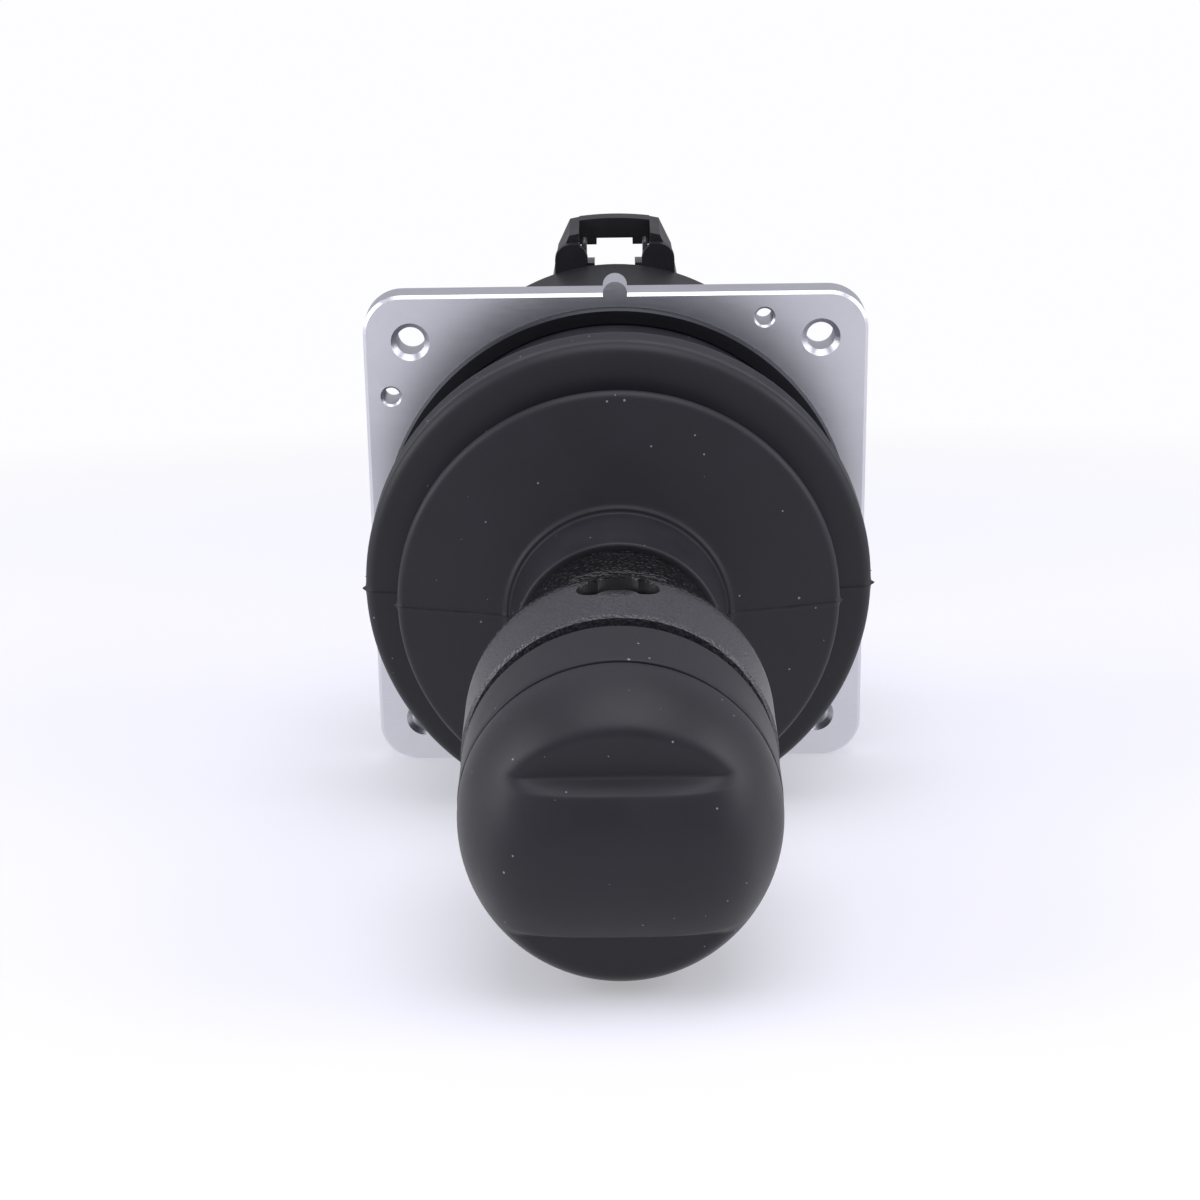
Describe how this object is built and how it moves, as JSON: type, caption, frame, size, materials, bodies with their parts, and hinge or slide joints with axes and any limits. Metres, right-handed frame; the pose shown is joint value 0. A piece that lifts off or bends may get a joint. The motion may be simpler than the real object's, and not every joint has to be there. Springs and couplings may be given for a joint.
{
  "type": "industrial joystick",
  "caption": "Panel joystick with a square flange, rubber boot, dead-man knob, gimbal and contact blocks.",
  "frame": {"origin": "centre of the flange's panel seat", "axes": "+Z along the upright lever towards the knob, +Y towards the index nub"},
  "size_m": [0.096, 0.0983, 0.2165],
  "materials": {
    "flange_plate": "brushed, natural",
    "boot_ring": "dark anodised",
    "boot": "moulded, slight sheen",
    "housing": "moulded",
    "housing_screws": "zinc plated",
    "bottom_cover": "moulded",
    "cover_screws": "zinc plated",
    "wire_grommet": "soft",
    "pivot_bushes": "turned",
    "bearing_caps": "moulded",
    "spring_x": "spring steel",
    "spring_y": "spring steel",
    "contact_frame_y": "glass-filled, moulded",
    "contact_frame_x": "glass-filled, moulded",
    "switches_y": "moulded",
    "switches_x": "moulded",
    "terminals_y": "tinned",
    "terminals_x": "tinned",
    "frame_screws": "zinc plated",
    "switch_screws": "zinc plated",
    "gimbal_ring": "machined",
    "gimbal_pins": "ground",
    "lever_pins": "ground",
    "cam_x": "acetal",
    "slotted_bail": "zinc plated",
    "bail_pins": "ground",
    "cam_y": "acetal",
    "lever_hub": "turned",
    "lever_rod": "turned",
    "knob_cup": "grained, glossy",
    "clamp_screw": "zinc plated",
    "knob_core": "turned",
    "knob_switch": "moulded",
    "knob_spring": "spring steel",
    "switch_button": "moulded",
    "cap_core": "moulded",
    "push_sleeve": "satin",
    "rubber_cap": "satin",
    "push_rod_left": "acetal",
    "push_rod_right": "acetal",
    "push_rod_front": "acetal",
    "push_rod_rear": "acetal"
  },
  "bodies": {
    "base": {"flange_plate": "flange_plate", "boot_ring": "boot_ring", "boot": "boot", "housing": "housing", "housing_screws": "housing_screws", "bottom_cover": "bottom_cover", "cover_screws": "cover_screws", "wire_grommet": "wire_grommet", "pivot_bushes": "pivot_bushes", "bearing_caps": "bearing_caps", "spring_x": "spring_x", "spring_y": "spring_y", "contact_frame_y": "contact_frame_y", "contact_frame_x": "contact_frame_x", "switches_y": "switches_y", "switches_x": "switches_x", "terminals_y": "terminals_y", "terminals_x": "terminals_x", "frame_screws": "frame_screws", "switch_screws": "switch_screws"},
    "gimbal": {"gimbal_ring": "gimbal_ring", "gimbal_pins": "gimbal_pins", "lever_pins": "lever_pins", "cam_x": "cam_x"},
    "bail": {"slotted_bail": "slotted_bail", "bail_pins": "bail_pins", "cam_y": "cam_y"},
    "lever": {"lever_hub": "lever_hub", "lever_rod": "lever_rod", "knob_cup": "knob_cup", "clamp_screw": "clamp_screw", "knob_core": "knob_core", "knob_switch": "knob_switch", "knob_spring": "knob_spring"},
    "push_cap": {"switch_button": "switch_button", "cap_core": "cap_core", "push_sleeve": "push_sleeve", "rubber_cap": "rubber_cap"},
    "rod_left": {"push_rod_left": "push_rod_left"},
    "rod_right": {"push_rod_right": "push_rod_right"},
    "rod_front": {"push_rod_front": "push_rod_front"},
    "rod_rear": {"push_rod_rear": "push_rod_rear"}
  },
  "joints": [
    {"name": "tilt_front_back", "type": "hinge", "parent": "base", "child": "gimbal", "pos_m": [0, 0, -0.01], "axis": [1, 0, 0], "range_deg": [-20, 20], "stiffness_Nm_per_rad": 3, "deforming": ["boot", "spring_x"]},
    {"name": "tilt_left_right", "type": "hinge", "parent": "gimbal", "child": "lever", "pos_m": [0, 0, -0.01], "axis": [0, 1, 0], "range_deg": [-20, 20], "stiffness_Nm_per_rad": 3, "deforming": ["boot", "spring_y"]},
    {"name": "bail_turn", "type": "hinge", "parent": "base", "child": "bail", "pos_m": [0, 0, -0.01], "axis": [0, 1, 0], "range_deg": [-20, 20]},
    {"name": "knob_push", "type": "slide", "parent": "lever", "child": "push_cap", "axis": [0, 0, -1], "range_m": [0, 0.0027], "stiffness_N_per_m": 1500, "springref_m": -0.002, "deforming": ["knob_spring"]},
    {"name": "rod_left_slide", "type": "slide", "parent": "base", "child": "rod_left", "axis": [0, 0, 1], "range_m": [-0.0013, 0.0013]},
    {"name": "rod_right_slide", "type": "slide", "parent": "base", "child": "rod_right", "axis": [0, 0, 1], "range_m": [-0.0013, 0.0013]},
    {"name": "rod_rear_slide", "type": "slide", "parent": "base", "child": "rod_rear", "axis": [0, 0, 1], "range_m": [-0.0013, 0.0013]},
    {"name": "rod_front_slide", "type": "slide", "parent": "base", "child": "rod_front", "axis": [0, 0, 1], "range_m": [-0.0013, 0.0013]}
  ],
  "couplings": [
    {"joint": "bail_turn", "follows": "tilt_left_right", "ratio": 1},
    {"joint": "rod_left_slide", "follows": "tilt_left_right", "m_per_rad": 0.00365},
    {"joint": "rod_right_slide", "follows": "tilt_left_right", "m_per_rad": -0.00365},
    {"joint": "rod_rear_slide", "follows": "tilt_front_back", "m_per_rad": 0.00365},
    {"joint": "rod_front_slide", "follows": "tilt_front_back", "m_per_rad": -0.00365}
  ]
}
